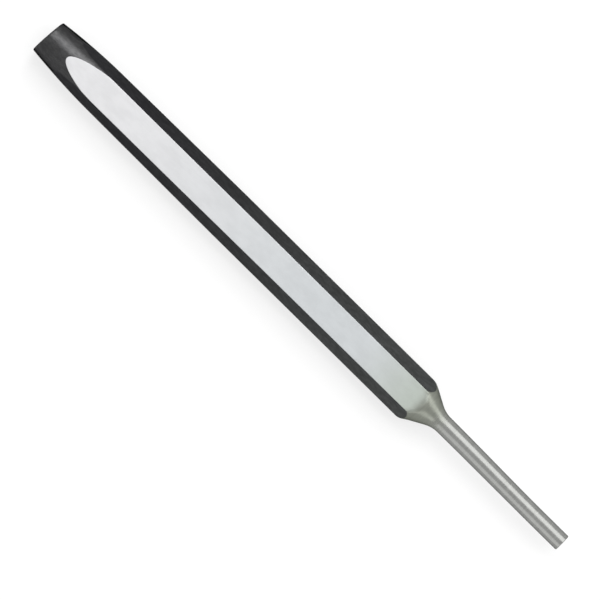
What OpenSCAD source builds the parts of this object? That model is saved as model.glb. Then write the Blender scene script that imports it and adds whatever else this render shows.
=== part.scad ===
// Pin punch: a hand tool that is struck with a hammer to drive a pin out of its hole.
// It is one solid piece of hexagonal steel bar with a crowned struck end, a turned neck,
// a slim pin, and one side of the shank ground flat.
// Lengths are in millimetres and angles in degrees. The tool lies along X: +X points from
// the struck end to the tip, +Z is the ground side, and the opposite side of the hexagon
// lies down. The origin is the centre of the pin's tip face.

/* [Overall] */
// From the struck face to the tip of the pin
overall_length = 125; // [100:0.5:200]

/* [Shank] */
// Across the flats of the hexagonal bar
across_flats = 7.94; // [6:0.01:14]
// Radial depth that turning takes off each corner of the hexagon
corner_break = 0.053; // [0.01:0.001:0.3]

/* [Struck end] */
// Length of the crowned part behind the struck face
crown_length = 14; // [8:0.5:25]
// Radial drop of the crown's arc from its back edge to the struck face
crown_drop = 0.91; // [0.4:0.01:2]
// Radius that rounds the rim of the struck face
rim_radius = 0.3; // [0.1:0.05:0.8]
// Length of the slow taper from the crown's back edge to the full shank
lead_length = 30; // [10:1:50]
// Radial drop over that slow taper
lead_drop = 0.185; // [0.05:0.005:0.3]

/* [Neck] */
// Angle between the side of the neck's cone and the axis
neck_angle = 28.6; // [15:0.1:45]
// Radius that rounds the corner between the shank and the cone
shoulder_radius = 3; // [0.5:0.1:5]
// Radius of the fillet between the cone and the pin
root_radius = 5; // [1:0.1:8]

/* [Pin] */
// From the foot of the cone, before its fillet, to the tip
pin_length = 30.2; // [15:0.1:50]
// Diameter of the pin at the foot of the cone
pin_root_d = 3.44; // [2:0.01:6]
// Diameter of the parallel end, which goes into the hole
pin_tip_d = 3.2; // [1.5:0.01:5.8]
// Length of the parallel end
parallel_length = 10; // [3:0.5:14]
// Edge broken off the tip, the same on both faces
tip_break = 0.12; // [0.05:0.01:0.4]

/* [Ground flat] */
// Depth of the flat below the hexagon's face where the wheel is fully in
flat_depth_start = 0.63; // [0.2:0.01:1]
// Depth of the flat below the hexagon's face where the cone begins
flat_depth_neck = 0.38; // [0.1:0.01:1]
// From the struck face to the place where the wheel is fully in
flat_start = 15; // [8:0.5:30]
// Radius of the grinding wheel, which leaves the arch behind the struck end
wheel_radius = 75; // [30:1:150]

/* [Hidden] */
$fn = 360;

// Each arc stands this much proud of touching its neighbours, so that it crosses them
// at a faint turned edge
arc_relief = 0.002;
// Cutting shapes run this far past what they cut
clear = 1;

// The shank, and the slow taper in front of it
apothem = across_flats / 2;
shank_r = apothem / cos(30) - corner_break;
lead_end = crown_length + lead_length;
lead_angle = atan(lead_drop / lead_length);
crown_r = shank_r - lead_drop;

// The crown's arc touches the slow taper at the crown's back edge
crown_fall = crown_drop * cos(lead_angle) - crown_length * sin(lead_angle);
crown_radius = (crown_length ^ 2 + crown_drop ^ 2) / (2 * crown_fall);
crown_centre = [crown_r, crown_length] - crown_radius * heading(-lead_angle);

// The rim's arc touches the struck face and the crown's arc
rim_centre = [crown_centre[0] + sqrt((crown_radius - rim_radius) ^ 2
                                     - (crown_centre[1] - rim_radius) ^ 2),
              rim_radius];
rim_angle = direction(crown_centre, rim_centre);

// The pin, and the cone that ends at its foot
pin_root_r = pin_root_d / 2;
pin_tip_r = pin_tip_d / 2;
foot = overall_length - pin_length;
parallel_start = overall_length - parallel_length;
pin_angle = atan((pin_root_r - pin_tip_r) / (parallel_start - foot));
cone_start = foot - (shank_r - pin_root_r) / tan(neck_angle);

// The shoulder's arc touches the shank and the cone
shoulder_reach = shoulder_radius * tan(neck_angle / 2);
shoulder_centre = [shank_r - shoulder_radius, cone_start - shoulder_reach];

// The root fillet's arc touches the cone and the pin
root_reach = root_radius * tan((neck_angle - pin_angle) / 2);
root_centre = [pin_root_r, foot] + root_reach * heading(90 + pin_angle)
              + root_radius * heading(pin_angle);

// The ground flat slopes a little, because the wheel cut deepest behind the struck end
flat_from = [flat_start, apothem - flat_depth_start];
flat_angle = atan((flat_depth_start - flat_depth_neck) / (cone_start - flat_start));
wheel_centre = flat_from + wheel_radius * heading(90 + flat_angle);
wheel_sweep = atan((flat_start + clear) / (wheel_radius - across_flats));

// A step of length 1 at an angle, and the angle from one point to another
function heading(angle) = [cos(angle), sin(angle)];
function direction(from, to) = atan2(to[1] - from[1], to[0] - from[0]);

// What lies outside an arc, in the wedge between the arc's two end angles
module outside_arc(centre, radius, from, to, depth) {
  far = radius + depth;
  difference() {
    polygon([
      centre,
      centre + far * heading(from),
      centre + far / cos((to - from) / 2) * heading((from + to) / 2),
      centre + far * heading(to)
    ]);
    translate(centre) circle(r = radius + arc_relief);
  }
}

// Half of the turned outline: the first number is the radius, and the second the distance
// from the struck face
module turned_outline() {
  difference() {
    polygon([
      [0, 0],
      [crown_r - crown_length * tan(lead_angle), 0],
      [shank_r, lead_end],
      [shank_r, cone_start],
      [pin_root_r, foot],
      [pin_tip_r, parallel_start],
      [pin_tip_r, overall_length - tip_break],
      [pin_tip_r - tip_break, overall_length],
      [0, overall_length]
    ]);
    outside_arc(crown_centre, crown_radius, rim_angle - 2, -lead_angle, 2 * clear);
    outside_arc(rim_centre, rim_radius, -90, rim_angle, clear);
    outside_arc(shoulder_centre, shoulder_radius, 0, neck_angle, clear);
  }
  outside_arc(root_centre, root_radius, 180 + pin_angle, 180 + neck_angle, pin_tip_r / 2);
}

// What the lathe leaves: crown, slow taper, neck and pin, along X
module turned_bar() {
  rotate([0, 90, 0])
    rotate_extrude()
      turned_outline();
}

// The hexagonal stock, with one flat up and one flat down, along X
module hexagonal_stock() {
  rotate([0, 90, 0])
    linear_extrude(height = overall_length)
      rotate(30)
        circle(r = apothem / cos(30), $fn = 6);
}

// What the wheel takes off the upper side: a sloping plane that ends in the wheel's own arc.
// The first number is the distance from the struck face, and the second the height
module ground_outline() {
  difference() {
    polygon([
      flat_from - (flat_start + clear) * heading(flat_angle),
      flat_from + overall_length * heading(flat_angle),
      flat_from + [overall_length, across_flats],
      flat_from + [-flat_start - clear, across_flats]
    ]);
    outside_arc(wheel_centre, wheel_radius, -90 + flat_angle - wheel_sweep,
                -90 + flat_angle, flat_start + clear);
  }
}

module ground_away() {
  rotate([90, 0, 0])
    linear_extrude(height = 2 * across_flats, center = true)
      ground_outline();
}

module punch() {
  color([0.22, 0.22, 0.23])
    translate([-overall_length, 0, 0])
      difference() {
        intersection() {
          turned_bar();
          hexagonal_stock();
        }
        ground_away();
      }
}

punch();
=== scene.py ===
import math

import bpy
import numpy as np
from mathutils import Matrix, Vector


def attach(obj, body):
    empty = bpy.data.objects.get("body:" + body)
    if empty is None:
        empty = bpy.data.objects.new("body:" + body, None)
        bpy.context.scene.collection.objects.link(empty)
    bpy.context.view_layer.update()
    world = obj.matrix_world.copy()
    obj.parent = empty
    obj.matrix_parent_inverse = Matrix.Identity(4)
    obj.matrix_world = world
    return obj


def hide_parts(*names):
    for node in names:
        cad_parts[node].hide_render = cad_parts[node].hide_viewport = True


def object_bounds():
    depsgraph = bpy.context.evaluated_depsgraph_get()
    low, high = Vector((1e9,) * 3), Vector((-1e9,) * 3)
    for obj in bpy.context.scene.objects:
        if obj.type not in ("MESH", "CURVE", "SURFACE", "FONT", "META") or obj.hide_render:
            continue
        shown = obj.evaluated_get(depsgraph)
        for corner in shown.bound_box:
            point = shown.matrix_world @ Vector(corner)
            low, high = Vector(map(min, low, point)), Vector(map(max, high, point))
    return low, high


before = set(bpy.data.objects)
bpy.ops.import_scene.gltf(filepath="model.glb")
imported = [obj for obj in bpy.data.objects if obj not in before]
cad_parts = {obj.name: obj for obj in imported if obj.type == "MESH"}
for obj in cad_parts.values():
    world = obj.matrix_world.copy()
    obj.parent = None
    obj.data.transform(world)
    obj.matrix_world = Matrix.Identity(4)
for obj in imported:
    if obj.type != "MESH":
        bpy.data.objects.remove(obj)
cadBox = [[float(v) for v in corner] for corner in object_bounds()]
print("frame: the packed punch is loaded")


# Sine of an angle in degrees: its radians are degrees times pi over 180.
def sin(angle):
    return math.sin(math.radians(angle))


# Cosine of an angle in degrees.
def cos(angle):
    return math.cos(math.radians(angle))


# Tangent of an angle in degrees.
def tan(angle):
    return math.tan(math.radians(angle))


# Places an object, with its own X, Y and Z along three directions.
def placed(place, right, up, back):
    return Matrix.Translation(place) @ Matrix((right, up, back)).transposed().to_4x4()


# The camera stands over the tool and a little to the +Y side, and is turned until the axis runs
# down to the lower right.
cameraSettings = {
    "middle": (-0.0625, 0.0, 0.0),   # the tool's middle, on its axis, in metres
    "middleInImage": (5.1, 10.4),    # pixels right of and above the centre of the image
    "imageSide": 600,                # pixels
    "pixelsPerMetre": 5776.0,        # at the tool's middle
    "axisSlope": 44.6,               # degrees below the horizontal of the image
    "lean": 2.8,                     # degrees from straight above towards +Y
    "distance": 1.3,                 # metres
    "sensorWidth": 36.0,             # millimetres
    "clip": (0.05, 50.0),            # metres
}


# The camera looks down along the direction that leans from the vertical. Its place is the tool's
# middle, less the middle's place in the image, plus the distance along that direction. The lens is
# the sensor's width times the distance times the scale, over the image's side.
def addCamera(s):
    along = Vector((1, 0, 0))
    back = Vector((0, sin(s["lean"]), cos(s["lean"])))
    across = back.cross(along)
    right = cos(s["axisSlope"]) * along + sin(s["axisSlope"]) * across
    up = -sin(s["axisSlope"]) * along + cos(s["axisSlope"]) * across
    shift = (s["middleInImage"][0] * right + s["middleInImage"][1] * up) / s["pixelsPerMetre"]
    place = Vector(s["middle"]) - shift + s["distance"] * back
    data = bpy.data.cameras.new("camera")
    data.sensor_width = s["sensorWidth"]
    data.lens = s["sensorWidth"] * s["distance"] * s["pixelsPerMetre"] / s["imageSide"]
    data.clip_start, data.clip_end = s["clip"]
    camera = bpy.data.objects.new("camera", data)
    camera.matrix_world = placed(place, right, up, back)
    bpy.context.scene.collection.objects.link(camera)
    bpy.context.scene.camera = camera


addCamera(cameraSettings)
print("camera: placed over the punch")


# The tool's sizes, in millimetres and degrees. Distances run from the struck face. They are the
# solid's, apart from the crown's drop and from what stands below flatStart, which the solid lacks.
punchSizes = {
    "length": 125.0,
    "acrossFlats": 7.94,             # of the hexagonal bar
    "cornerBreak": 0.053,            # what turning takes off each corner of the hexagon
    "crownLength": 14.0,
    "crownDrop": 0.86,               # how far the crown's arc falls to the struck face
    "rimRadius": 0.3,
    "leadLength": 30.0,              # the slow taper from the crown's back edge to the full shank
    "leadDrop": 0.185,
    "neckAngle": 28.6,               # between the side of the cone and the axis
    "shoulderRadius": 3.0,           # between the shank and the cone
    "rootRadius": 5.0,               # between the cone and the pin
    "pinLength": 30.2,               # from the foot of the cone to the tip
    "pinRootD": 3.44,
    "pinTipD": 3.2,
    "parallelLength": 10.0,          # the end of the pin that doesn't taper
    "tipBreak": 0.12,                # edge broken off the tip
    "flatDepthStart": 0.63,          # how deep the ground flat lies at flatStart
    "flatDepthNeck": 0.38,           # the same where the cone begins
    "flatStart": 15.0,
    "rampTip": (5.14, 3.983),        # place and height of the tip of the arch behind the struck end
    "rampSlope": 0.08,               # how steeply the grinding runs in from there
    "groundRoll": 0.047,             # how far the ground flat leans over sideways at the head
    "rollReach": (28.0, 58.0),       # where that starts to fade, and is gone
    "edgeSoftness": 0.08,            # how far from an edge its rounding starts
    "neckSoftness": 0.4,             # the same where the ground flat runs out over the cone
    "softnessReach": 0.4,            # how deep the cone lies under the hexagon where that is full
    "faceSlant": 4.4,                # the struck face was dressed a little off square
    "slantReach": 5.0,               # how far along the tool that fades out
    "turnedOffset": 0.2,             # how far the neck was turned off the bar's middle
    "offsetReach": (88.9, 91.2, 96.0, 120.0),    # where that begins, is full, fades and ends
}

# The grid of the mesh: rings along the tool, and points round each ring
gridSettings = {
    "faceRings": 14,
    "rimRings": 8,
    "rimGap": 0.15,                  # from the rim to the first ring on the crown, in millimetres
    "crownStep": 0.25,
    "stretches": [                   # from, to and step
        (4.4, 7.0, 0.05),            # tip of the arch behind the struck end
        (7.0, 10.0, 0.1),
        (10.0, 17.0, 0.2),
        (17.0, 88.0, 0.8),
        (88.0, 92.5, 0.07),          # shoulder, and end of the ground flat
        (92.5, 97.0, 0.12),          # cone and fillet
    ],
    "pinStep": 0.5,
    "beforeBreak": (0.2, 0.1, 0.04, 0.0),        # end of the pin's rings, and three more before its edge
    # rings over the broken edge, as shares of it: how far before the tip, and how far inwards
    "breakRings": [(0.86, 0.04), (0.6, 0.3), (0.3, 0.6), (0.1, 0.86), (0.0, 1.0), (0.0, 1.1)],
    "tipFaceRings": 10,
    "innermost": 0.05,               # radius of a face's smallest ring, as a share of its largest
    "columns": [20, 12, 14, 12, 14, 12, 8],      # points from each edge to the next, round one half
    "crowding": 0.85,                # how much they crowd towards the edges
    "leastSpread": 0.6,              # degrees that two edges keep apart on the shank
    "endSpread": 14.4,               # degrees more at the two ends, which have no edges
    "headSpread": (4.6, 4.0),        # where that starts towards the struck face, and over what length
    "neckSpread": (91.6, 3.0),       # the same towards the tip
    "refinings": 4,                  # how often an edge's place is worked out again with the offset
    "sideGap": 0.5,                  # degrees from the ground flat's edge to the next one, at least
    "upperSide": 0.87,               # cosine of a direction through the hexagon's upper side
    "groundSide": 0.2,               # cosine of the steepest direction that meets the ground plane
    "farOut": 99.0,                  # a radius past all others
    "mostMargin": 1.5,               # margins past this are cut to it, in millimetres
    "mapEnds": (0.02, 0.96),         # where the outline starts on the flat map, and its share of it
}


# Rises from 0 to 1 as t does, level at both ends: t squared times (3 - 2 t).
def easeIn(t):
    t = np.clip(t, 0, 1)
    return t * t * (3 - 2 * t)


# The smaller of two radii. Where they differ by less than the width, the square of what is left of
# it, over four widths, comes off as well, which rounds the edge between them.
def softLeast(a, b, width):
    near = np.maximum(width - np.abs(a - b), 0)
    return np.minimum(a, b) - near ** 2 / (4 * width)


# The lines and arcs of the turned outline, and the slope of the ground flat, from the sizes: each
# arc's centre lies one radius from the two lines or arcs that it touches. A centre is its distance
# from the axis, and its distance from the struck face.
def workOutPunch(s):
    d = {}
    d["apothem"] = s["acrossFlats"] / 2
    d["shankR"] = d["apothem"] / cos(30) - s["cornerBreak"]

    leadAngle = math.degrees(math.atan(s["leadDrop"] / s["leadLength"]))
    d["leadEnd"] = s["crownLength"] + s["leadLength"]
    d["crownR"] = d["shankR"] - s["leadDrop"]
    fall = s["crownDrop"] * cos(leadAngle) - s["crownLength"] * sin(leadAngle)
    d["crownRadius"] = (s["crownLength"] ** 2 + s["crownDrop"] ** 2) / (2 * fall)
    crownX = s["crownLength"] + d["crownRadius"] * sin(leadAngle)
    crownY = d["crownR"] - d["crownRadius"] * cos(leadAngle)
    d["crownCentre"] = (crownY, crownX)

    rimX = s["rimRadius"]
    rimY = crownY + math.sqrt((d["crownRadius"] - s["rimRadius"]) ** 2 - (crownX - rimX) ** 2)
    d["rimCentre"] = (rimY, rimX)
    d["rimAngle"] = math.degrees(math.atan2(rimX - crownX, rimY - crownY))
    d["rimEnd"] = rimX + s["rimRadius"] * sin(d["rimAngle"])

    d["rootR"] = s["pinRootD"] / 2
    d["tipR"] = s["pinTipD"] / 2
    d["foot"] = s["length"] - s["pinLength"]
    d["parallelStart"] = s["length"] - s["parallelLength"]
    pinAngle = math.degrees(math.atan((d["rootR"] - d["tipR"]) / (d["parallelStart"] - d["foot"])))

    d["coneStart"] = d["foot"] - (d["shankR"] - d["rootR"]) / tan(s["neckAngle"])
    reach = s["shoulderRadius"] * tan(s["neckAngle"] / 2)
    d["shoulderCentre"] = (d["shankR"] - s["shoulderRadius"], d["coneStart"] - reach)
    d["shoulderEnd"] = d["shoulderCentre"][1] + s["shoulderRadius"] * sin(s["neckAngle"])

    reach = s["rootRadius"] * tan((s["neckAngle"] - pinAngle) / 2)
    rootY = d["rootR"] - reach * sin(pinAngle)
    d["rootEnd"] = d["foot"] + reach * cos(pinAngle)
    d["rootCentre"] = (rootY + s["rootRadius"] * cos(pinAngle),
                       d["rootEnd"] + s["rootRadius"] * sin(pinAngle))
    d["rootStart"] = d["rootCentre"][1] - s["rootRadius"] * sin(s["neckAngle"])

    d["flatSlope"] = (s["flatDepthStart"] - s["flatDepthNeck"]) / (d["coneStart"] - s["flatStart"])
    d["flatHeight"] = d["apothem"] - s["flatDepthStart"]
    return d


# Radius of the cone at x: the shank's, less the distance from its start times tan of its angle.
def coneRadius(x, s, d):
    return d["shankR"] - (x - d["coneStart"]) * tan(s["neckAngle"])


# Radius of the turned outline at x: a line falls in proportion to x, and an arc is its centre's
# height plus or minus the root of its radius squared less its distance from the centre squared.
def turnedRadius(x, s, d):
    # one arc: its outer half where the way is 1, and its inner half where it is -1
    def arc(centre, radius, way):
        return centre[0] + way * np.sqrt(np.maximum(radius ** 2 - (x - centre[1]) ** 2, 0))

    lead = d["crownR"] + (x - s["crownLength"]) * s["leadDrop"] / s["leadLength"]
    pin = d["rootR"] - (x - d["foot"]) * (d["rootR"] - d["tipR"]) / (d["parallelStart"] - d["foot"])
    parts = [                        # where each part ends, and its radius
        (d["rimEnd"], arc(d["rimCentre"], s["rimRadius"], 1)),
        (s["crownLength"], arc(d["crownCentre"], d["crownRadius"], 1)),
        (d["leadEnd"], lead),
        (d["shoulderCentre"][1], d["shankR"]),
        (d["shoulderEnd"], arc(d["shoulderCentre"], s["shoulderRadius"], 1)),
        (d["rootStart"], coneRadius(x, s, d)),
        (d["rootEnd"], arc(d["rootCentre"], s["rootRadius"], -1)),
        (d["parallelStart"], pin),
    ]
    return np.select([x < end for end, radius in parts], [radius for end, radius in parts], d["tipR"])


# Height of the middle of the ground flat above the axis: the higher of two sloping lines, the ramp
# behind the struck end and the long flat, with the bend between them rounded.
def groundHeight(x, s, d):
    ramp = s["rampTip"][1] - (x - s["rampTip"][0]) * s["rampSlope"]
    level = d["flatHeight"] + (x - s["flatStart"]) * d["flatSlope"]
    return -softLeast(-ramp, -level, s["edgeSoftness"])


# Rise of the ground flat towards +Y at x, per length: constant at the head, and gone at the neck.
def groundRoll(x, s):
    start, end = s["rollReach"]
    return s["groundRoll"] * easeIn((end - x) / (end - start))


# How far the turned end lies off the bar's middle at x, towards +Y: it eases in over the shoulder,
# and out again along the pin.
def turnedOffset(x, s):
    start, full, fades, end = s["offsetReach"]
    return s["turnedOffset"] * easeIn((x - start) / (full - start)) * easeIn((end - x) / (end - fades))


# Distance and radius of each ring, from the middle of the struck face out over the rim, along the
# tool, and in over the tip: close together where the outline bends or an edge starts.
def ringStations(s, g, d):
    inward = np.linspace(g["innermost"], 1, g["faceRings"])
    turn = np.radians(np.linspace(-90, d["rimAngle"], g["rimRings"] + 1))[1:]
    lastEdge = s["length"] - s["tipBreak"]
    x = np.concatenate(
        [np.arange(d["rimEnd"] + g["rimGap"], g["stretches"][0][0], g["crownStep"])]
        + [np.arange(*stretch) for stretch in g["stretches"]]
        + [np.arange(g["stretches"][-1][1], lastEdge - g["beforeBreak"][0], g["pinStep"])]
        + [lastEdge - np.array(g["beforeBreak"][1:])])
    before, inside = np.array(g["breakRings"]).T
    tipX = s["length"] - s["tipBreak"] * before
    tipR = d["tipR"] - s["tipBreak"] * inside
    faceR = tipR[-1] * np.linspace(1, g["innermost"], g["tipFaceRings"] + 1)[1:]
    stations = np.concatenate([
        0 * inward, d["rimCentre"][1] + s["rimRadius"] * np.sin(turn), x, tipX, 0 * faceR + s["length"]])
    radii = np.concatenate([
        d["rimCentre"][0] * inward, d["rimCentre"][0] + s["rimRadius"] * np.cos(turn),
        turnedRadius(x, s, d), tipR, faceR])
    return stations, radii


# Angles of the points round one half of each ring, in degrees from the upper side. Their breaks follow
# the edges. A flat side at a height, square to a middle direction, meets the turned outline at the
# angle middle +- acos(height / radius), where the radius is the ring's plus its offset times the
# sine of that angle. The ground flat meets the hexagon at y = (apothem - height / 2) / (sin 60 +
# roll / 2), z = height + roll y. From break to break the points crowd by t - k sin(2 pi t) / 2 pi.
def halfAngles(x, radius, offset, roll, s, g, d):
    atHead = easeIn((g["headSpread"][0] - x) / g["headSpread"][1])
    atNeck = easeIn((x - g["neckSpread"][0]) / g["neckSpread"][1])
    loose = g["leastSpread"] + g["endSpread"] * np.maximum(atHead, atNeck)

    # the angle of one of a side's two edges: the way is 1 for the far one and -1 for the near one
    def meeting(height, middle, way):
        spread = 0 * x
        for refining in range(g["refinings"]):
            shifted = radius + offset * np.sin(np.radians(middle + way * spread))
            spread = np.degrees(np.arccos(np.minimum(height / shifted, 1)))
        return middle + way * np.maximum(spread, loose)

    height = groundHeight(x, s, d)
    lean = np.arctan(roll)
    wide = (d["apothem"] - height / 2) / (sin(60) + roll / 2)
    corner = np.degrees(np.arctan2(wide, height + roll * wide))
    arch = meeting(height * np.cos(lean), -np.degrees(lean), 1)
    arch = np.maximum(np.minimum(arch, corner), loose)
    flat = np.where(x < s["length"] / 2, arch, corner)    # over the cone the edge is too soft to follow
    breaks = np.stack([
        0 * x,
        flat,
        np.maximum(meeting(d["apothem"], 60, -1), flat + g["sideGap"]),
        meeting(d["apothem"], 60, 1),
        meeting(d["apothem"], 120, -1),
        meeting(d["apothem"], 120, 1),
        meeting(d["apothem"], 180, -1),
        0 * x + 180], 1)
    steps = []
    for k, n in enumerate(g["columns"]):
        t = np.arange(n) / n
        t = t - g["crowding"] * np.sin(2 * np.pi * t) / (2 * np.pi)
        steps.append(breaks[:, k:k + 1] + t * (breaks[:, k + 1:k + 2] - breaks[:, k:k + 1]))
    return np.concatenate(steps, 1)


# Angles of the points round each whole ring: the half on the +Y side, then the other half backwards.
def ringAngles(x, radius, s, g, d):
    offset = turnedOffset(x, s)
    roll = groundRoll(x, s)
    right = halfAngles(x, radius, offset, roll, s, g, d)
    left = halfAngles(x, radius, -offset, -roll, s, g, d)
    return np.concatenate([right, 0 * right[:, :1] + 180, 360 - left[:, :0:-1]], 1)


# The surface on a grid of rings and angles, in millimetres. The radius is the least of three: the
# hexagon's side, apothem / cos(angle to its middle), the ground flat, height / (cos - roll sin), and
# the turned outline, a circle of radius r about a centre e off the middle, e sin(angle) + root(r r -
# (e cos)^2). Its margins say how far each kind of surface lies below the next one.
def punchSurface(s, g):
    d = workOutPunch(s)
    x, turned = ringStations(s, g, d)
    angle = ringAngles(x, turned, s, g, d)
    x = np.repeat(x[:, None], angle.shape[1], 1)
    rise = np.cos(np.radians(angle))
    side = np.sin(np.radians(angle))
    hexagon = d["apothem"] / np.cos(np.radians(angle - 60 * np.round(angle / 60)))
    stock = np.where(rise > g["upperSide"], g["farOut"], hexagon)    # that side is all ground away
    offset = turnedOffset(x, s)
    turned = offset * side + np.sqrt(turned[:, None] ** 2 - (offset * rise) ** 2)
    upward = rise - groundRoll(x, s) * side
    ground = groundHeight(x, s, d) / np.maximum(upward, g["groundSide"])
    ground = np.where(upward > g["groundSide"], ground, g["farOut"])
    overCone = easeIn((hexagon - turned) / s["softnessReach"]) * (x > d["shoulderCentre"][1])
    softness = s["edgeSoftness"] + (s["neckSoftness"] - s["edgeSoftness"]) * overCone
    radius = softLeast(softLeast(stock, turned, s["edgeSoftness"]), ground, softness)

    three = np.sort(np.stack([stock, turned, ground]), 0)
    cone = coneRadius(x, s, d) + offset * side
    margins = {
        "coneMargin": np.minimum(stock, ground) - cone,
        "groundMargin": np.minimum(stock, turned) - ground,
        "turnedMargin": np.minimum(stock, ground) - turned,
        "neckMargin": ground - cone,
        "edgeGap": three[1] - three[0],
        "endFace": np.where((x <= 0) | (x >= s["length"]), 1.0, 0.0),
    }
    y = radius * side
    z = radius * rise
    slanted = x + y * tan(s["faceSlant"]) * (1 - easeIn(x / s["slantReach"]))
    points = np.stack([slanted - s["length"], y, z], -1)
    outline = np.concatenate([[0], np.cumsum(np.hypot(np.diff(x[:, 0]), np.diff(turned[:, 0])))])
    return points, margins, outline


# A closed mesh from rings of points and a pole at each end: a quad between each two points of two
# rings, and a fan of triangles round each pole. The flat map takes the outline's length one way and
# the column over all columns the other.
def closedMesh(name, points, poles, outline):
    rings, columns = points.shape[:2]
    i, j = np.meshgrid(np.arange(rings - 1), np.arange(columns), indexing="ij")
    after = (j + 1) % columns
    quads = np.stack([
        i * columns + j, (i + 1) * columns + j, (i + 1) * columns + after, i * columns + after], -1)
    along = np.stack([outline[i], outline[i + 1], outline[i + 1], outline[i]], -1)
    around = np.stack([j, j, j + 1, j + 1], -1) / columns
    quadMap = np.stack([along, around], -1).reshape(-1, 2)

    j = np.arange(columns)
    after = (j + 1) % columns
    last = (rings - 1) * columns
    headFan = np.stack([np.full(columns, rings * columns), j, after], -1)
    tipFan = np.stack([np.full(columns, rings * columns + 1), last + after, last + j], -1)
    headMap = np.stack([
        np.stack([0 * j, 0 * j + outline[0], 0 * j + outline[0]], -1),
        np.stack([j + 0.5, j, j + 1], -1) / columns], -1).reshape(-1, 2)
    tipMap = np.stack([
        np.stack([0 * j + 1.0, 0 * j + outline[-1], 0 * j + outline[-1]], -1),
        np.stack([j + 0.5, j + 1, j], -1) / columns], -1).reshape(-1, 2)

    vertices = np.concatenate([points.reshape(-1, 3), poles]) * 0.001    # millimetres to metres
    corners = np.concatenate([quads.ravel(), headFan.ravel(), tipFan.ravel()]).astype(np.int32)
    sizes = np.concatenate([np.full(quads.size // 4, 4), np.full(2 * columns, 3)]).astype(np.int32)
    starts = np.concatenate([[0], np.cumsum(sizes)[:-1]]).astype(np.int32)
    mesh = bpy.data.meshes.new(name)
    mesh.vertices.add(len(vertices))
    mesh.vertices.foreach_set("co", vertices.ravel().astype(np.float32))
    mesh.loops.add(len(corners))
    mesh.loops.foreach_set("vertex_index", corners)
    mesh.polygons.add(len(sizes))
    mesh.polygons.foreach_set("loop_start", starts)
    mesh.polygons.foreach_set("use_smooth", np.ones(len(sizes), bool))
    flatMap = mesh.uv_layers.new(name="alongAndRound")
    flatMap.data.foreach_set("uv", np.concatenate([quadMap, headMap, tipMap]).ravel().astype(np.float32))
    print("punch: rings", rings, "columns", columns, "faces", len(sizes))
    return mesh


# The punch as one closed piece. Each margin is an attribute of its points, and a pole has the mean
# of the ring round it.
def buildPunch(s, g):
    points, margins, outline = punchSurface(s, g)
    columns = points.shape[1]
    poles = np.array([[-s["length"], 0, 0], [0, 0, 0]])
    outline = g["mapEnds"][0] + g["mapEnds"][1] * outline / outline[-1]
    mesh = closedMesh("punch_body", points, poles, outline)
    for name, values in margins.items():
        values = np.clip(values.ravel(), -g["mostMargin"], g["mostMargin"])
        ends = [values[:columns].mean(), values[-columns:].mean()]
        layer = mesh.attributes.new(name, "FLOAT", "POINT")
        layer.data.foreach_set("value", np.concatenate([values, ends]).astype(np.float32))
    mesh.update()
    mesh.validate()
    piece = bpy.data.objects.new("punch_body", mesh)
    bpy.context.scene.collection.objects.link(piece)
    return piece


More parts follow.
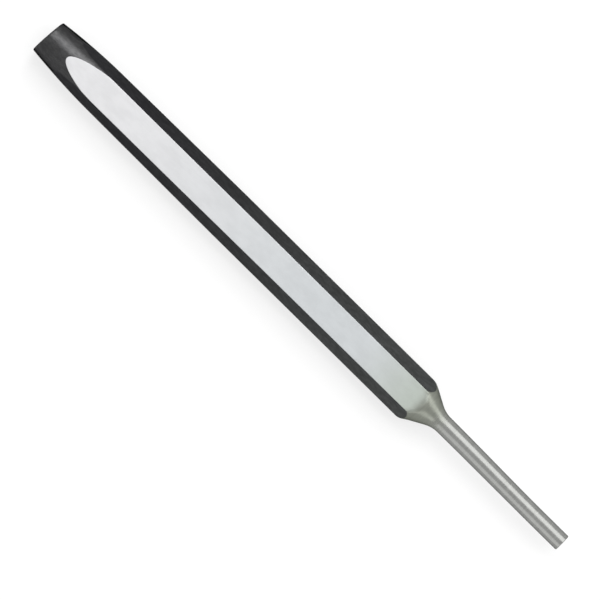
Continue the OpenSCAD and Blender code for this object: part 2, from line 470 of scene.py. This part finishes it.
# The finishes of the steel. Colours are linear. The black shank gets lighter towards the neck, which is
# painted light, and the ground flat darker towards its middle and the neck, which is painted shade; the
# neck, darker than the pin, is painted shade as well.
finishSettings = {
    "crown": {"colour": (0.053, 0.053, 0.054), "roughness": 0.34, "edgeTint": (0.25, 0.25, 0.25)},
    "shank": {"colour": (0.029, 0.029, 0.031), "roughness": 0.42, "edgeTint": (0.5, 0.5, 0.5)},
    # painted light: the black shank's colour at the neck end, lighter than at the head
    "shankPaintedLightAtNeck": {"colour": (0.063, 0.066, 0.065)},
    "worn": {"colour": (0.16, 0.16, 0.16), "share": 0.25},    # where an edge is rubbed bare
    "flat": {"colour": (0.607, 0.607, 0.616), "roughness": 0.6},
    # painted shade: the ground flat's colour at the tool's middle and at the neck, darker than at the head
    "flatPaintedShadeAtMiddle": {"colour": (0.472, 0.489, 0.5)},
    "flatPaintedShadeAtNeck": {"colour": (0.377, 0.408, 0.375)},
    # painted shade: the neck's colour is darker than the pin's, for the cone's side that faces away from
    # the light
    "neck": {"colour": (0.206, 0.216, 0.187), "roughness": 0.32},
    "pin": {"colour": (0.258, 0.261, 0.252), "roughness": 0.24},
    "bright": {"edgeTint": (0.34, 0.34, 0.34)},               # the ground flat, the neck and the pin
    "marks": {"strength": 0.6, "depth": 0.000004},            # of all grinding and lathe marks, in metres
    "patterns": {                    # waves per metre along X, Y and Z, detail and roughness
        "speckle": ((9000, 9000, 9000), 2.0, 0.6),
        "mottle": ((900, 2000, 2000), 3.0, 0.6),
        "cloud": ((160, 320, 320), 2.0, 0.5),
        "drawnLines": ((220, 7000, 7000), 2.0, 0.5),
        "rubbing": ((700, 2500, 2500), 3.0, 0.6),
        "crownLines": ((7000, 300, 300), 2.0, 0.6),
        "fineLines": ((260, 26000, 2000), 2.0, 0.6),
        "wideLines": ((60, 5200, 600), 2.0, 0.55),
        "patches": ((420, 700, 700), 2.0, 0.5),
        "fineRounds": ((16000, 240, 240), 2.0, 0.6),
        "wideRounds": ((1700, 260, 260), 2.0, 0.6),
        "faceRings": ((9000, 9000, 9000), 2.0, 0.6),
    },
    "shares": {                      # of two patterns in one
        "shankMarks": (0.6, 0.5),
        "crownMarks": (0.6, 0.7),
        "flatLines": (0.6, 0.4),
        "pinLines": (0.6, 0.4),
        "pinMarks": (0.25, 0.1),
    },
    "shades": {                      # the part of a pattern that is used, and the shade at its two ends
        "mottle": (0.33, 0.67, 0.84, 1.16),
        "cloud": (0.3, 0.7, 0.93, 1.07),
        "speckle": (0.3, 0.7, 0.86, 1.14),
        "rubbing": (0.4, 0.7, 0.05, 0.6),
        "patches": (0.3, 0.7, 0.975, 1.025),
        "flatLines": (0.3, 0.7, 0.95, 1.05),
        "pinLines": (0.3, 0.7, 0.9, 1.1),
        "faceRings": (0.3, 0.7, 0.86, 1.14),
    },
    "roughening": {                  # the same, with what comes on top of the roughness
        "speckle": (0.25, 0.75, -0.04, 0.04),
        "flatLines": (0.3, 0.7, -0.06, 0.06),
        "pinLines": (0.3, 0.7, -0.04, 0.04),
    },
    "borders": {                     # margins over which one finish turns into the next, in millimetres
        "flat": (-0.006, 0.012),
        "crown": (-0.05, 0.05),
        "turned": (-0.1, 0.0),
        "neck": (-1.25, 0.1),
        "neckBow": 0.35,             # how much later the neck's colour starts beside the flat's middle
        "rubbing": (0.0, 0.05, 1.0, 0.0),    # and its share at an edge, and beyond
    },
    "places": {                      # metres from the tip, or from the flat's middle
        # where the shank's painted light grows from the head's colour to the neck's
        "shankPaintedLightToNeck": (-0.105, -0.03),
        # where the ground flat's painted shade deepens, first towards the middle and then towards the neck
        "flatPaintedShadeToMiddle": (-0.11, -0.055),
        "flatPaintedShadeToNeck": (-0.05, -0.034),
        "neckToPin": (-0.0325, -0.027),
        "besideMiddle": (0.0004, 0.0018),
    },
}


class NodeSheet:
    # Short ways to add nodes to one node tree
    def __init__(self, tree):
        self.tree = tree

    # a new node, with its settings and inputs filled in
    def node(self, kind, inputs=None, **settings):
        n = self.tree.nodes.new(kind)
        for key, value in settings.items():
            setattr(n, key, value)
        for key, value in (inputs or {}).items():
            self.put(n.inputs[key], value)
        return n

    # links another node's output to a socket, or sets a constant on it
    def put(self, socket, value):
        if isinstance(value, bpy.types.NodeSocket):
            self.tree.links.new(value, socket)
        else:
            socket.default_value = value

    # one sum, product, root or the like of one or two values
    def math(self, operation, a, b=0.0):
        return self.node("ShaderNodeMath", {0: a, 1: b}, operation=operation).outputs[0]

    # a share of each of two values, added up
    def blend(self, a, b, shares):
        return self.math("ADD", self.math("MULTIPLY", a, shares[0]), self.math("MULTIPLY", b, shares[1]))

    # eases from first to last as the value goes from low to high
    def between(self, value, low, high, first=0.0, last=1.0):
        n = self.node("ShaderNodeMapRange", {
            "Value": value, "From Min": low, "From Max": high, "To Min": first, "To Max": last},
            interpolation_type="SMOOTHSTEP")
        return n.outputs["Result"]

    # a, plus the factor times b less a
    def mix(self, factor, a, b):
        return self.node("ShaderNodeMix", {0: factor, 2: a, 3: b}, data_type="FLOAT").outputs[0]

    # the same for colours, or a share of their product
    def mixColour(self, factor, a, b, how="MIX"):
        a = (*a, 1.0) if isinstance(a, tuple) else a
        b = (*b, 1.0) if isinstance(b, tuple) else b
        n = self.node("ShaderNodeMix", {0: factor, 6: a, 7: b}, data_type="RGBA", blend_type=how)
        return n.outputs[2]

    # noise from 0 to 1 at the place times the waves per metre
    def noise(self, pattern, where):
        waves, detail, roughness = pattern
        place = self.node("ShaderNodeMapping", {"Vector": where, "Scale": waves})
        n = self.node("ShaderNodeTexNoise", {
            "Vector": place.outputs[0], "Scale": 1.0, "Detail": detail, "Roughness": roughness})
        return n.outputs["Fac"]

    # a value that the mesh's points carry
    def attribute(self, name):
        return self.node("ShaderNodeAttribute", attribute_name=name).outputs["Fac"]


# An empty material, and the sheet that adds its nodes.
def newMaterial(name):
    material = bpy.data.materials.new(name)
    material.use_nodes = True
    material.node_tree.nodes.clear()
    return material, NodeSheet(material.node_tree)


# One metal with five finishes: black oxide on the turned crown and on the drawn shank, a ground
# flat, and a ground neck and pin. The margins say which surface lies lowest, and x how far along.
def punchSteel(s):
    material, sheet = newMaterial("hardened_steel")
    shares = s["shares"]
    shades = s["shades"]
    roughening = s["roughening"]
    borders = s["borders"]
    places = s["places"]
    position = sheet.node("ShaderNodeTexCoord").outputs["Object"]
    x, y, z = sheet.node("ShaderNodeSeparateXYZ", {0: position}).outputs

    # one of the patterns, laid out along X, Y and Z if not told otherwise
    def pattern(name, where=position):
        return sheet.noise(s["patterns"][name], where)

    isFlat = sheet.between(sheet.attribute("groundMargin"), *borders["flat"])
    isCrown = sheet.between(sheet.attribute("turnedMargin"), *borders["crown"])
    isTurned = sheet.between(sheet.attribute("coneMargin"), *borders["turned"])
    isBright = sheet.math("MAXIMUM", isFlat, isTurned)
    endFace = sheet.attribute("endFace")
    besideMiddle = sheet.between(sheet.math("ABSOLUTE", y), *places["besideMiddle"])
    bow = sheet.math("MULTIPLY", besideMiddle, borders["neckBow"])
    toNeck = sheet.between(sheet.math("SUBTRACT", sheet.attribute("neckMargin"), bow), *borders["neck"])

    # Lathe marks across the two end faces: rings about the middle
    squares = sheet.math("ADD", sheet.math("MULTIPLY", y, y), sheet.math("MULTIPLY", z, z))
    fromAxis = sheet.math("SQRT", squares)
    faceRings = pattern("faceRings", sheet.node("ShaderNodeCombineXYZ", {0: fromAxis}).outputs[0])

    # Black oxide: a fine speckle, mottling, broad clouds and faint lines along the drawn bar
    speckle = pattern("speckle")
    shade = sheet.math("MULTIPLY", sheet.between(pattern("mottle"), *shades["mottle"]),
                       sheet.between(pattern("cloud"), *shades["cloud"]))
    shade = sheet.math("MULTIPLY", shade, sheet.between(speckle, *shades["speckle"]))
    worn = sheet.math("MULTIPLY", sheet.between(sheet.attribute("edgeGap"), *borders["rubbing"]),
                      sheet.between(pattern("rubbing"), *shades["rubbing"]))
    # painted light: the black shank lightens from the head towards the neck
    shank = sheet.mixColour(sheet.between(x, *places["shankPaintedLightToNeck"]),
                            s["shank"]["colour"], s["shankPaintedLightAtNeck"]["colour"])
    oxide = sheet.mixColour(isCrown, shank, s["crown"]["colour"])
    oxide = sheet.mixColour(1.0, oxide, shade, "MULTIPLY")
    oxide = sheet.mixColour(sheet.math("MULTIPLY", worn, s["worn"]["share"]), oxide, s["worn"]["colour"])
    oxideRough = sheet.mix(isCrown, s["shank"]["roughness"], s["crown"]["roughness"])
    oxideRough = sheet.math("ADD", oxideRough, sheet.between(speckle, *roughening["speckle"]))
    shankHeight = sheet.blend(speckle, pattern("drawnLines"), shares["shankMarks"])
    crownHeight = sheet.blend(speckle, pattern("crownLines"), shares["crownMarks"])
    oxideHeight = sheet.mix(isCrown, shankHeight, crownHeight)

    # Ground flat: long grinding lines of two widths
    lines = sheet.blend(pattern("fineLines"), pattern("wideLines"), shares["flatLines"])
    # painted shade: the ground flat darkens towards the tool's middle and the neck
    flat = sheet.mixColour(sheet.between(x, *places["flatPaintedShadeToMiddle"]),
                           s["flat"]["colour"], s["flatPaintedShadeAtMiddle"]["colour"])
    flat = sheet.mixColour(sheet.between(x, *places["flatPaintedShadeToNeck"]), flat, s["flatPaintedShadeAtNeck"]["colour"])
    shade = sheet.math("MULTIPLY", sheet.between(pattern("patches"), *shades["patches"]),
                       sheet.between(lines, *shades["flatLines"]))
    flat = sheet.mixColour(1.0, flat, shade, "MULTIPLY")
    flatRough = sheet.math("ADD", s["flat"]["roughness"], sheet.between(lines, *roughening["flatLines"]))

    # Neck and pin: fine lines round the tool
    fineRounds = pattern("fineRounds")
    wideRounds = pattern("wideRounds")
    ringLines = sheet.blend(fineRounds, wideRounds, shares["pinLines"])
    ringHeight = sheet.blend(fineRounds, wideRounds, shares["pinMarks"])
    toPin = sheet.between(x, *places["neckToPin"])
    # painted shade: the neck darker than the pin, easing into the pin's colour
    turned = sheet.mixColour(toPin, s["neck"]["colour"], s["pin"]["colour"])
    turned = sheet.mixColour(1.0, turned, sheet.between(ringLines, *shades["pinLines"]), "MULTIPLY")
    turnedRough = sheet.mix(toPin, s["neck"]["roughness"], s["pin"]["roughness"])
    turnedRough = sheet.math("ADD", turnedRough, sheet.between(wideRounds, *roughening["pinLines"]))

    # All of them together
    colour = sheet.mixColour(isBright, oxide, sheet.mixColour(toNeck, flat, turned))
    ringShade = sheet.mix(endFace, 1.0, sheet.between(faceRings, *shades["faceRings"]))
    colour = sheet.mixColour(1.0, colour, ringShade, "MULTIPLY")
    rough = sheet.mix(isBright, oxideRough, sheet.mix(toNeck, flatRough, turnedRough))
    edgeTint = sheet.mixColour(isCrown, s["shank"]["edgeTint"], s["crown"]["edgeTint"])
    edgeTint = sheet.mixColour(isBright, edgeTint, s["bright"]["edgeTint"])
    height = sheet.mix(isTurned, sheet.mix(isFlat, oxideHeight, lines), ringHeight)
    height = sheet.mix(endFace, height, faceRings)
    bump = sheet.node("ShaderNodeBump", {
        "Height": height, "Strength": s["marks"]["strength"], "Distance": s["marks"]["depth"]})
    steel = sheet.node("ShaderNodeBsdfPrincipled", {
        "Base Color": colour, "Metallic": 1.0, "Roughness": rough, "Normal": bump.outputs[0],
        "Specular Tint": edgeTint})
    sheet.node("ShaderNodeOutputMaterial", {"Surface": steel.outputs[0]})
    return material


punch = buildPunch(punchSizes, gridSettings)
punch.data.materials.append(punchSteel(finishSettings))
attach(punch, "root")
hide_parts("punch")
print("punch: finished and riding on the solid")


# The studio: a white floor that the tool lies on, an even white surround, and soft lamps. The
# floor and the surround show white to the eye and in the metal, and the floor keeps its shadows.
# Lengths are in metres. A lamp aims at a place on the axis, and its size is across the tool and
# along it.
studioSettings = {
    "floorHalf": 3.0,
    "floorGap": 0.00002,             # the floor lies this far below the tool
    "floorColour": (0.84, 0.84, 0.84),
    "floorGlow": {"share": 0.6, "strength": 1.1},
    "surround": 0.72,                # what the surround gives as light
    "surroundSeen": 1.0,             # what it shows to the eye and in the metal
    "lamps": {
        "headLamp": {"place": (-0.19, 0.30, 0.37), "aim": -0.12, "size": (0.36, 0.16), "radiance": 5.3},
        "mainLamp": {"place": (0.11, 0.31, 0.37), "aim": -0.02, "size": (0.46, 0.38), "radiance": 1.72},
        "sideLamp": {"place": (0.05, -0.40, 0.27), "aim": -0.02, "size": (0.4, 0.2), "radiance": 0.75},
        "neckLamp": {"place": (0.42, 0.34, 0.2), "aim": -0.033, "size": (0.3, 0.26), "radiance": 1.6},
        "lowLamp": {"place": (0.42, -0.27, 0.22), "aim": -0.033, "size": (0.24, 0.2), "radiance": 1.3},
    },
}


# 1 where the eye, a mirroring surface or a clear one looks at it, and 0 where it gives light: the
# greatest of three answers.
def isLookedAt(sheet):
    path = sheet.node("ShaderNodeLightPath")
    through = sheet.math("MAXIMUM", path.outputs["Is Glossy Ray"], path.outputs["Is Transmission Ray"])
    return sheet.math("MAXIMUM", path.outputs["Is Camera Ray"], through)


# A square of twice the half side. It is matt paper, mixed with a glow where it is looked at.
def addFloor(s, height):
    half = s["floorHalf"]
    corners = [(-half, -half, height), (half, -half, height), (half, half, height), (-half, half, height)]
    mesh = bpy.data.meshes.new("floor")
    mesh.from_pydata(corners, [], [(0, 1, 2, 3)])
    material, sheet = newMaterial("floor_paper")
    share = sheet.math("MULTIPLY", isLookedAt(sheet), s["floorGlow"]["share"])
    matt = sheet.node("ShaderNodeBsdfDiffuse", {"Color": (*s["floorColour"], 1.0)})
    glow = sheet.node("ShaderNodeEmission", {"Color": (1, 1, 1, 1), "Strength": s["floorGlow"]["strength"]})
    both = sheet.node("ShaderNodeMixShader", {0: share, 1: matt.outputs[0], 2: glow.outputs[0]})
    sheet.node("ShaderNodeOutputMaterial", {"Surface": both.outputs[0]})
    mesh.materials.append(material)
    floor = bpy.data.objects.new("floor", mesh)
    bpy.context.scene.collection.objects.link(floor)


# A white world: its strength is one value as a light, and another where it is looked at.
def addSurround(s):
    world = bpy.data.worlds.new("surround")
    world.use_nodes = True
    sheet = NodeSheet(world.node_tree)
    background = next(n for n in world.node_tree.nodes if n.type == "BACKGROUND")
    strength = sheet.mix(isLookedAt(sheet), s["surround"], s["surroundSeen"])
    sheet.put(background.inputs["Color"], (1, 1, 1, 1))
    sheet.put(background.inputs["Strength"], strength)
    bpy.context.scene.world = world


# A flat lamp that faces its aim on the axis. Its power is the radiance times pi times its area.
def addLamp(name, s):
    data = bpy.data.lights.new(name, "AREA")
    data.shape = "RECTANGLE"
    data.size, data.size_y = s["size"]
    data.energy = s["radiance"] * math.pi * s["size"][0] * s["size"][1]
    place = Vector(s["place"])
    back = (place - Vector((s["aim"], 0, 0))).normalized()
    side = Vector((1, 0, 0)).cross(back).normalized()
    lamp = bpy.data.objects.new(name, data)
    lamp.matrix_world = placed(place, side, back.cross(side), back)
    bpy.context.scene.collection.objects.link(lamp)


addFloor(studioSettings, cadBox[0][2] - studioSettings["floorGap"])
addSurround(studioSettings)
for lampName, lampSettings in studioSettings["lamps"].items():
    addLamp(lampName, lampSettings)
bpy.context.scene.view_settings.view_transform = "Standard"
print("studio: floor, surround and lamps are in place")
